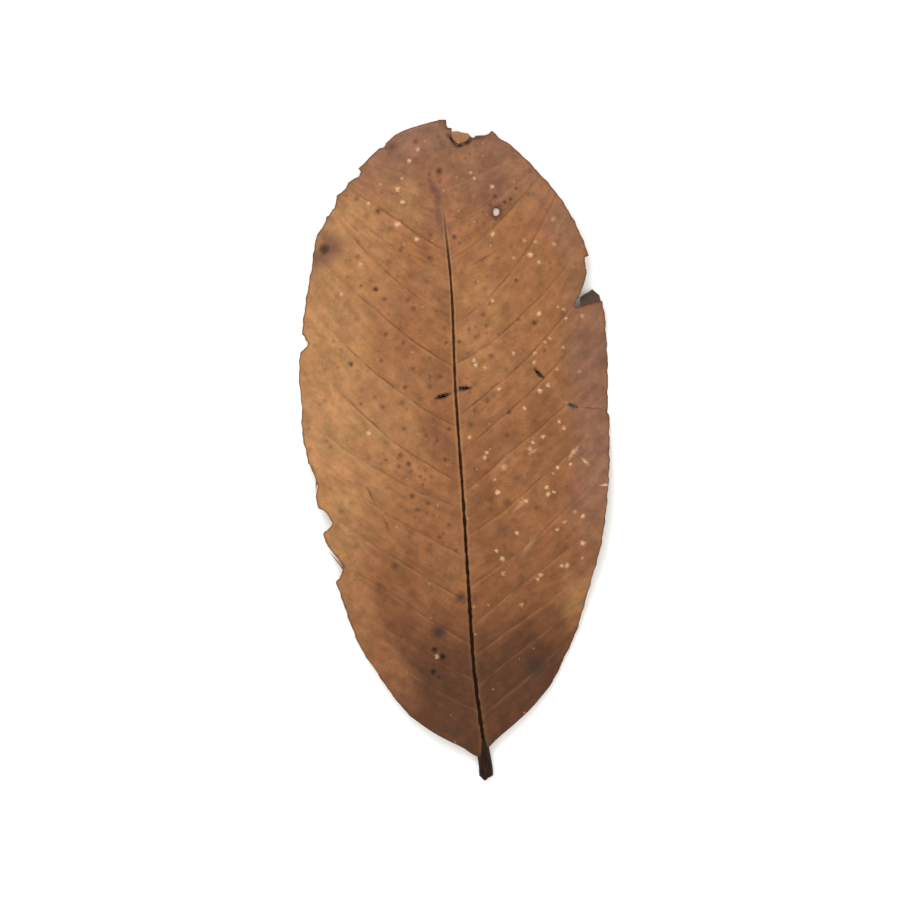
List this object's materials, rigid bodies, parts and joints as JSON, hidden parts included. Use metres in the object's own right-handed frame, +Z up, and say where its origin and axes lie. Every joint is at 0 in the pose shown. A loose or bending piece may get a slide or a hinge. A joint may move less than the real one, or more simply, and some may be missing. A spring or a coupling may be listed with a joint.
{
  "type": "dried guava leaf",
  "caption": "Dry brown oval leaf lying face up, with a sunken midrib, curved side veins, torn edges, a broken tip and a short stalk.",
  "frame": {"origin": "on the table under the middle of the leaf's outline", "axes": "+Z up from the table, +Y along the midrib from the stalk to the tip, +X to the right seen from above"},
  "size_m": [0.0568, 0.1208, 0.0068],
  "materials": {
    "dry_leaf": "matte"
  },
  "bodies": {
    "root": {"leaf": "dry_leaf"}
  },
  "joints": []
}
